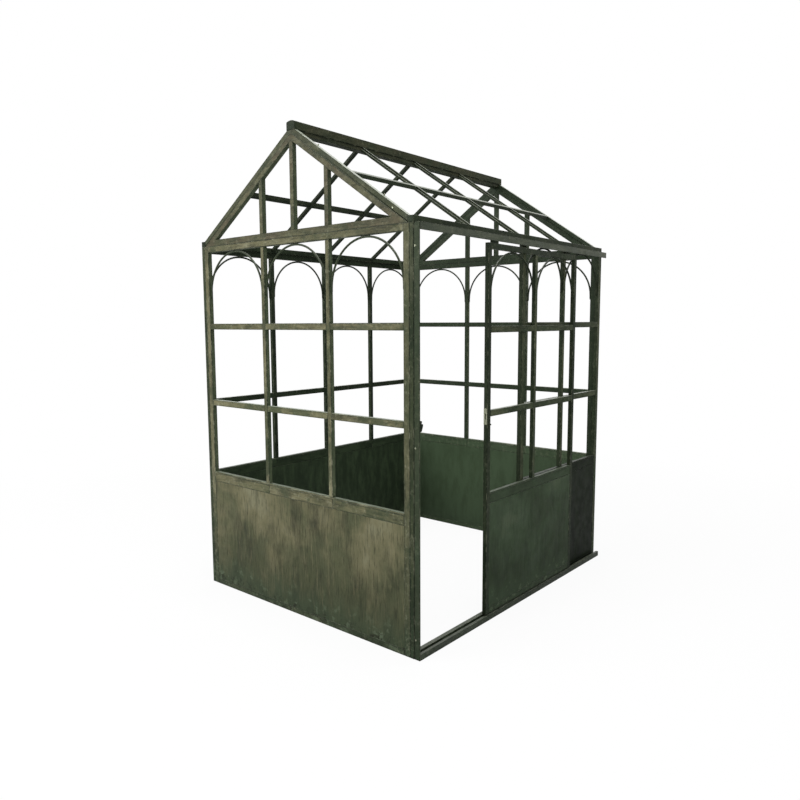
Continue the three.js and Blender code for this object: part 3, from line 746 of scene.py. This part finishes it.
def weld_bead(start, end, radius):
    """A rounded bead of weld from start to end."""
    bm = start_mesh()
    turn = UP.rotation_difference(end - start).to_matrix().to_4x4()
    stretch = Matrix.Diagonal((radius, radius, (end - start).length / 2, 1))
    bmesh.ops.create_icosphere(
        bm, subdivisions=2, radius=1, matrix=Matrix.Translation((start + end) / 2) @ turn @ stretch
    )
    for face in bm.faces:
        face.smooth = True
    mark(bm)
    return bm


def piece(name, parts, slot, body, out, painted_light_inside=1.0):
    """Joins parts into one mesh object that rides a body and takes a slot's finish."""
    whole = start_mesh()
    for part in parts:
        loose = bpy.data.meshes.new("part")
        part.to_mesh(loose)
        part.free()
        whole.from_mesh(loose)
        bpy.data.meshes.remove(loose)
    expose(whole, out, painted_light_inside)
    mesh = bpy.data.meshes.new(name)
    whole.to_mesh(mesh)
    whole.free()
    made = bpy.data.objects.new(name, mesh)
    bpy.context.scene.collection.objects.link(made)
    mesh.materials.append(finish_for(slot))
    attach(made, body)
    return made


def dress(node, parts, out, painted_light_inside=1.0):
    """Joins parts into the painted piece that stands for a CAD node."""
    body = frame["nodes"][node]["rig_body"]
    made = piece(f"{node}_painted", parts, SLOTS[node], body, out, painted_light_inside)
    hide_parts(node)
    return made


def dress_as_is(node, out, radius=None, lie=PLAIN, painted_light_inside=1.0):
    """The CAD node's own shape with rounded edges and its finish."""
    return dress(node, [cad_copy(node, radius or sizes().tube_round, lie)], out, painted_light_inside)


def bolt(place, out, radius, stand):
    """A head on a washer, seated on a face at a place and standing this many radii proud of it."""
    bm = start_mesh()
    turn = UP.rotation_difference(out).to_matrix().to_4x4()
    seat = Matrix.Translation(place) @ turn
    # Each is its width and where it starts and ends, in radii.
    washer, head = (1.0, -0.2, 0.12), (0.7, 0.1, stand)
    for width, low, high in (washer, head):
        bmesh.ops.create_cone(
            bm, cap_ends=True, segments=12, radius1=width * radius, radius2=0.85 * width * radius,
            depth=(high - low) * radius, matrix=seat @ Matrix.Translation(UP * (high + low) / 2 * radius),
        )
    mark(bm)
    return bm


def fixings(name, node, out, places, slot, stand=0.28):
    """A row of bolts on a CAD node's face, as one piece that rides the node's body."""
    bolts = [bolt(place, out, sizes().screw_radius, stand) for place in places]
    return piece(name, bolts, slot, frame["nodes"][node]["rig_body"], out)


# ----------------------------------------------------------- wall panels


def frame_middle():
    """The middle of the gable, in plan."""
    low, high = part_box("front_gable_top_rail")
    return (low + high) / 2


class Wall:
    """Directions on one wall: across runs along it, and out runs through it, away from the house."""

    def __init__(self, node, across, out):
        self.low, self.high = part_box(node)
        self.across, self.out = across, out
        self.axis = 0 if across.x else 1
        self.middle = (self.low + self.high) / 2

    def corners(self, u, z, inset=0.0):
        """Two corners of a box that spans u along the wall and z in height, through its thickness."""
        low, high = self.low.copy(), self.high.copy()
        low[self.axis], high[self.axis] = u
        low[1 - self.axis] += inset
        high[1 - self.axis] -= inset
        low.z, high.z = z
        return low, high

    def span(self):
        """The wall's two ends, along it."""
        return self.low[self.axis], self.high[self.axis]

    def place(self, u, z, out=0.0):
        """A point on the wall's middle plane, or out from it."""
        point = self.middle.copy()
        point[self.axis] = u
        point.z = z
        return point + self.out * out

    def bead_faces(self, radius):
        """How far from the middle plane a bead's centre lies on the inner and the outer face."""
        half = (self.high - self.low)[1 - self.axis] / 2
        return [side * (half - radius + BEAD_PROUD) for side in (-1, 1)]


def glazing_bars(node, across, out, centres, upper=None, lie=PLAIN, painted_light_inside=1.0):
    """Mullions, transoms and arch rods of one wall, each bar by itself, with weld beads at the joints.

    centres are the mullions' places along the wall.
    """
    s = sizes()
    wall = Wall(node, across, out)
    low, high = wall.span()
    bottom, top = wall.low.z, wall.high.z
    half = s.bar_width / 2
    mullions = [(c - half, c + half) for c in centres]
    edges = [low, *[u for m in mullions for u in m], high]
    parts = [tube(*wall.corners(m, (bottom, top)), s.tube_round, lie) for m in mullions]
    for u0, u1 in zip(edges[::2], edges[1::2]):
        for level in (s.lower_transom, upper or s.upper_transom):
            z = (level - s.transom_height / 2, level + s.transom_height / 2)
            parts.append(tube(*wall.corners((u0, u1), z), s.tube_round, lie))
            for u in (u0, u1):
                if low < u < high:
                    for face in wall.bead_faces(s.weld_radius):
                        ends = [wall.place(u, end, face) for end in z]
                        parts.append(weld_bead(*ends, s.weld_radius))
        radius = (u1 - u0) / 2 - s.rod_radius + ROD_SINK
        middle = wall.place((u0 + u1) / 2, 0)
        parts.append(arch(middle, top, radius, s.rod_radius, s.arch_leg, across, s.arch_steps))
    for mullion in mullions:
        for face in wall.bead_faces(s.foot_weld_radius):
            ends = [wall.place(u, bottom + MM, face) for u in mullion]
            parts.append(weld_bead(*ends, s.foot_weld_radius))
    return dress(node, parts, out, painted_light_inside)


# A dado's folded sheet: the gaps and setbacks that show as lines between its rails and its panel.
JOINT_GAP = 0.2 * MM
RAIL_SETBACK = 0.3 * MM
PANEL_SETBACK = 0.5 * MM
LIP_GROOVE = 0.8 * MM
PANEL_GROOVE = 1.2 * MM
STRIP_SETBACK = 2 * MM
# The shallow waves of its panel, which die away towards the rails.
SHEET_CUTS = (24, 12)
WAVE_DEPTH = 0.9 * MM
WAVE_FADE = 160 * MM
SHORTEST_RUN = 10 * MM
CREASE = 0.5  # radians


def ripple(point, across):
    """How far a sheet stands back at a point, as a share of its waves' depth."""
    u = point.dot(across)
    long_waves = 0.28 * math.sin(9.1 * u + 1.3 * point.z)
    tall_waves = 0.22 * math.sin(14.7 * point.z + 5.3 * u + 1.1)
    return 0.5 + long_waves + tall_waves


def waved_panel(wall, span, foot, rail, lie):
    """A dado's sheeted panel between its bottom rail and its top rail."""
    low, high = wall.corners(span, (foot, rail), PANEL_SETBACK)
    panel = block(low, high)
    for direction, cuts in zip((wall.across, UP), SHEET_CUTS):
        runs = [e for e in panel.edges if abs((e.verts[0].co - e.verts[1].co).dot(direction)) > SHORTEST_RUN]
        bmesh.ops.subdivide_edges(panel, edges=runs, cuts=cuts, use_grid_fill=True)
    panel.normal_update()
    for v in panel.verts:
        side = 1 if (v.co - wall.middle).dot(wall.out) > 0 else -1
        free = min(abs(v.co.z - low.z), abs(v.co.z - high.z), WAVE_FADE) / WAVE_FADE
        v.co -= wall.out * side * ripple(v.co, wall.across) * free * WAVE_DEPTH
    # Only the waves are smooth, not the sheet's corners.
    for edge in panel.edges:
        edge.smooth = edge.calc_face_angle(0) < CREASE
    for face in panel.faces:
        face.smooth = True
    mark(panel, lie, broad=True)
    return panel


def dado(node, across, out, joints=(), lie=PLAIN):
    """A dado: lip, top rail and bottom rail, and the sheeted panel with its shallow waves.

    joints are places along the wall where the top rail is butt-welded.
    """
    s = sizes()
    wall = Wall(node, across, out)
    span = wall.span()
    bottom, top = wall.low.z, wall.high.z
    rail, foot, lip = top - s.dado_rail, bottom + s.dado_foot, top - s.dado_lip
    least_painted_shade, _, warm, bright = lie
    parts = [tube(*wall.corners(span, (lip, top)), s.tube_round, (least_painted_shade, LIP_LESS_DUST_AND_TOP_LIGHT, warm, bright))]
    parts.append(tube(*wall.corners(span, (bottom, foot), RAIL_SETBACK), s.sheet_round, lie))
    stops = [span[0], *joints, span[1]]
    for start, end in zip(stops, stops[1:]):
        run = (start + JOINT_GAP, end - JOINT_GAP)
        parts.append(tube(*wall.corners(run, (rail, lip - LIP_GROOVE), RAIL_SETBACK), s.sheet_round, lie))
    # A strip behind the joints closes the slots between the rails and the sheet.
    strip = (foot - STRIP_SETBACK, top - STRIP_SETBACK)
    parts.append(tube(*wall.corners(span, strip, STRIP_SETBACK), s.sheet_round, lie))
    parts.append(waved_panel(wall, span, foot + PANEL_SETBACK, rail - PANEL_GROOVE, lie))
    return dress(node, parts, out, DADO_PAINTED_SHADE)


# -------------------------------------------------------------- operators


class GREENHOUSE_OT_gables(bpy.types.Operator):
    """Paint and detail the front and back gable frames"""

    bl_idname = "greenhouse.gables"
    bl_label = "Gable frames"

    def execute(self, context):
        s = sizes()
        middle = frame_middle().x
        reach = s.gable_mullion
        places = (middle - reach, middle + reach)
        for gable, out in (("front_gable", -ALONG_Y), ("back_gable", ALONG_Y)):
            for member in ("left_stile", "top_rail"):
                dress_as_is(f"{gable}_{member}", out, painted_light_inside=GABLE_PAINTED_SHADE)
            # The stiles beside the door take a share of the painted shade green.
            dress_as_is(f"{gable}_right_stile", out, lie=LIES["stile_by_door"], painted_light_inside=GABLE_PAINTED_SHADE)
            bars = f"{gable}_glazing_bars"
            glazing_bars(bars, ALONG_X, out, places, lie=LIES["gable_bars"], painted_light_inside=GABLE_PAINTED_SHADE)
            joints = [p + s.bar_width / 2 for p in places]
            dado(f"{gable}_dado", ALONG_X, out, joints)
        return {"FINISHED"}


class GREENHOUSE_OT_side_walls(bpy.types.Operator):
    """Paint and detail the two long walls"""

    bl_idname = "greenhouse.side_walls"
    bl_label = "Side walls"

    def execute(self, context):
        pitch = sizes().side_mullion
        for side, out in (("left", -ALONG_X), ("right", ALONG_X)):
            dress_as_is(f"{side}_wall_front_post", -ALONG_Y)
            dress_as_is(f"{side}_wall_back_post", out)
            dress_as_is(f"{side}_wall_top_rail", out, lie=LIES["side_top_rail"])
        dress_as_is("doorway_stile", ALONG_X)
        dress_as_is("doorway_sill", ALONG_X)
        glazing_bars("left_wall_glazing_bars", ALONG_Y, -ALONG_X, (-pitch, 0, pitch))
        glazing_bars("right_wall_glazing_bars", ALONG_Y, ALONG_X, (pitch,))
        dado("left_wall_dado", ALONG_Y, -ALONG_X, (-pitch, 0, pitch))
        # The door covers this part of the wall when it stands open; it is painted darker and in shade green
        # all over, as painted shade from the door in front of it.
        dado("right_wall_dado", ALONG_Y, ALONG_X, (pitch,), LIES["fixed_dado"])
        return {"FINISHED"}


class GREENHOUSE_OT_door(bpy.types.Operator):
    """Paint and detail the sliding door, its lock and its knob"""

    bl_idname = "greenhouse.door"
    bl_label = "Sliding door"

    def execute(self, context):
        for member in ("door_leading_stile", "door_trailing_stile", "door_top_rail"):
            dress_as_is(member, ALONG_X, lie=LIES["door_frame"])
        low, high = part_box("door_glazing_bars")
        glazing_bars("door_glazing_bars", ALONG_Y, ALONG_X, ((low.y + high.y) / 2,), sizes().door_transom)
        dado("door_panel", ALONG_Y, ALONG_X)
        for fitting in ("door_front_roller", "door_back_roller", "door_knob", "lock_plate"):
            dress_as_is(fitting, ALONG_X, sizes().fitting_round)
        return {"FINISHED"}


class GREENHOUSE_OT_tracks(bpy.types.Operator):
    """Paint and detail the door's tracks, jamb and keeper"""

    bl_idname = "greenhouse.tracks"
    bl_label = "Tracks and jamb"

    def execute(self, context):
        s = sizes()
        dress_as_is("head_track", ALONG_X, s.sheet_round, LIES["head_track"])
        dress_as_is("floor_track", ALONG_X, s.sheet_round, LIES["floor_track"])
        dress_as_is("doorway_jamb", -ALONG_Y, s.sheet_round, LIES["jamb"])
        dress_as_is("door_keeper", ALONG_X, s.fitting_round, LIES["keeper"])
        # The jamb is screwed to the near post, and bolts hold the far post.
        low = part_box("doorway_jamb")[0]
        levels = (0.095, 1.000, 1.898)
        screws = [Vector((low.x + 7 * MM, low.y, z)) for z in levels]
        fixings("jamb_screws", "doorway_jamb", -ALONG_Y, screws, "bare_steel")
        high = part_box("right_wall_back_post")[1]
        levels = (0.1, 1.004, 1.909)
        bolts = [Vector((high.x, high.y - 12 * MM, z)) for z in levels]
        fixings("far_post_bolts", "right_wall_back_post", ALONG_X, bolts, "frame_paint")
        return {"FINISHED"}


class GREENHOUSE_OT_roof(bpy.types.Operator):
    """Paint and detail the trusses, rafters, purlins, eaves and ridge"""

    bl_idname = "greenhouse.roof"
    bl_label = "Roof"

    def execute(self, context):
        s = sizes()
        for side, out in (("left", -ALONG_X), ("right", ALONG_X)):
            dress_as_is(f"{side}_eaves_rail", out, lie=LIES["eaves"])
            dress_as_is(f"{side}_roof_bars", UP, s.sheet_round, LIES["roof_bars"])
            for end, face in (("front", -ALONG_Y), ("back", ALONG_Y)):
                rafter = f"{end}_{side}_end_rafter"
                dress_as_is(rafter, face, s.slope_round, LIES["end_rafter"], ROOF_PAINTED_SHADE)
        for end, face in (("front", -ALONG_Y), ("back", ALONG_Y)):
            dress_as_is(f"{end}_truss", face, s.slope_round, LIES["truss"], ROOF_PAINTED_SHADE)
        # Studs that once held the capping on the near right end rafter, and a screw in its face.
        rafter = "front_right_end_rafter"
        low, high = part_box(rafter)
        middle = frame_middle().x
        lean = Vector((s.roof_slope, 0, 1)).normalized()
        stud_runs, screw_run = (0.178, 0.604), 0.6685
        studs = [
            Vector((middle + run, high.y - 6 * MM, s.roof_peak - s.roof_slope * run)) for run in stud_runs
        ]
        fixings("rafter_studs", rafter, lean, studs, "bare_steel", 1.6)
        screw = Vector((middle + screw_run, low.y, s.roof_peak - s.roof_slope * screw_run - 20 * MM))
        fixings("rafter_screw", rafter, -ALONG_Y, [screw], "bare_steel")
        dress_as_is("ridge", ALONG_X, lie=LIES["ridge"])
        return {"FINISHED"}


class GREENHOUSE_OT_stage(bpy.types.Operator):
    """Set the pale floor, the soft lamps and the camera"""

    bl_idname = "greenhouse.stage"
    bl_label = "Stage"

    def execute(self, context):
        floor = bpy.data.objects.new("floor", bpy.data.meshes.new("floor"))
        bm = bmesh.new()
        bmesh.ops.create_grid(bm, x_segments=1, y_segments=1, size=40)
        bm.to_mesh(floor.data)
        bm.free()
        context.scene.collection.objects.link(floor)
        floor.data.materials.append(pale_floor())
        white_world()
        soft_lamp("key_lamp", (-3.2, -6.0, 4.6), size=4.0, power=370)
        soft_lamp("fill_lamp", (5.5, -3.0, 3.5), size=4.0, power=110)
        soft_lamp("sky_lamp", (0.6, 0.0, 7.0), size=5.0, power=390)
        place_camera()
        context.scene.view_settings.view_transform = "Standard"
        return {"FINISHED"}


def pale_floor():
    """White floor that shows as paper white, right to the horizon, and keeps a faint shadow."""
    material, tree = empty_material("pale_floor")
    seen = add_node(tree, "ShaderNodeLightPath").outputs["Is Camera Ray"]
    at = add_node(tree, "ShaderNodeTexCoord").outputs["Object"]
    away = add_node(tree, "ShaderNodeVectorMath", {"operation": "LENGTH"}, {0: at}).outputs["Value"]
    glowing = showing(tree, away, 1.5, 5.0, least=0.93)
    plain = add_node(tree, "ShaderNodeBsdfDiffuse", {}, {"Color": (0.8, 0.8, 0.8, 1)})
    glow = add_node(tree, "ShaderNodeEmission", {}, {"Color": (1, 1, 1, 1), "Strength": 1.0})
    paper = add_node(tree, "ShaderNodeMixShader", {}, {0: glowing, 1: plain.outputs[0], 2: glow.outputs[0]})
    shown = add_node(tree, "ShaderNodeMixShader", {}, {0: seen, 1: plain.outputs[0], 2: paper.outputs[0]})
    add_node(tree, "ShaderNodeOutputMaterial", {}, {"Surface": shown.outputs[0]})
    return material


def white_world():
    """A world that is white where it is seen or mirrored, and lights the object softly."""
    world = bpy.data.worlds.new("white_surround")
    world.use_nodes = True
    tree = world.node_tree
    tree.nodes.clear()
    path = add_node(tree, "ShaderNodeLightPath").outputs
    seen = path["Is Camera Ray"]
    for ray in ("Is Glossy Ray", "Is Transmission Ray"):
        seen = add_node(tree, "ShaderNodeMath", {"operation": "MAXIMUM"}, {0: seen, 1: path[ray]}).outputs[0]
    strength = add_node(
        tree, "ShaderNodeMapRange", {}, {"Value": seen, "To Min": 0.22, "To Max": 1.0}
    ).outputs["Result"]
    light = add_node(tree, "ShaderNodeBackground", {}, {"Color": (1, 1, 1, 1), "Strength": strength})
    add_node(tree, "ShaderNodeOutputWorld", {}, {"Surface": light.outputs[0]})
    bpy.context.scene.world = world


def soft_lamp(name, place, size, power):
    """A square area lamp that faces the middle of the greenhouse."""
    lamp = bpy.data.lights.new(name, "AREA")
    lamp.size = size
    lamp.energy = power
    made = bpy.data.objects.new(name, lamp)
    made.location = place
    aim = Vector((0, 0, 1.2)) - made.location
    made.rotation_euler = aim.to_track_quat("-Z", "Y").to_euler()
    bpy.context.scene.collection.objects.link(made)


def place_camera():
    """A camera at standing height, off the front right corner."""
    data = bpy.data.cameras.new("camera")
    data.sensor_width = 36
    data.lens = 31.49
    made = bpy.data.objects.new("camera", data)
    bpy.context.scene.collection.objects.link(made)
    yaw, pitch, roll = math.radians(40.184), math.radians(6.372), math.radians(-0.2596)
    turn = Euler((math.pi / 2 - pitch, 0, yaw), "XYZ").to_matrix() @ Matrix.Rotation(roll, 3, "Z")
    beside, before, eye_height = 2.7495, 2.4164, 1.5666
    place = (frame_middle().x + beside, CAD_BOX[0][1] - before, eye_height)
    made.matrix_world = Matrix.Translation(place) @ turn.to_4x4()
    bpy.context.scene.camera = made


class GREENHOUSE_PT_panel(bpy.types.Panel):
    """Shows a button for each of the greenhouse's operators in the sidebar"""

    bl_idname = "GREENHOUSE_PT_panel"
    bl_label = "Greenhouse"
    bl_space_type = "VIEW_3D"
    bl_region_type = "UI"
    bl_category = "Greenhouse"

    def draw(self, context):
        for operator in OPERATORS:
            self.layout.operator(operator.bl_idname)


OPERATORS = (
    GREENHOUSE_OT_gables,
    GREENHOUSE_OT_side_walls,
    GREENHOUSE_OT_door,
    GREENHOUSE_OT_tracks,
    GREENHOUSE_OT_roof,
    GREENHOUSE_OT_stage,
)
CLASSES = (GreenhouseSizes, GreenhouseColours, *OPERATORS, GREENHOUSE_PT_panel)


def register():
    for cls in CLASSES:
        bpy.utils.register_class(cls)
    bpy.types.Scene.greenhouse_sizes = PointerProperty(type=GreenhouseSizes)
    bpy.types.Scene.greenhouse_colours = PointerProperty(type=GreenhouseColours)


def unregister():
    del bpy.types.Scene.greenhouse_colours
    del bpy.types.Scene.greenhouse_sizes
    for cls in reversed(CLASSES):
        bpy.utils.unregister_class(cls)


def main():
    register()
    bpy.ops.greenhouse.gables()
    bpy.ops.greenhouse.side_walls()
    bpy.ops.greenhouse.door()
    bpy.ops.greenhouse.tracks()
    bpy.ops.greenhouse.roof()
    bpy.ops.greenhouse.stage()


if __name__ == "__main__":
    main()
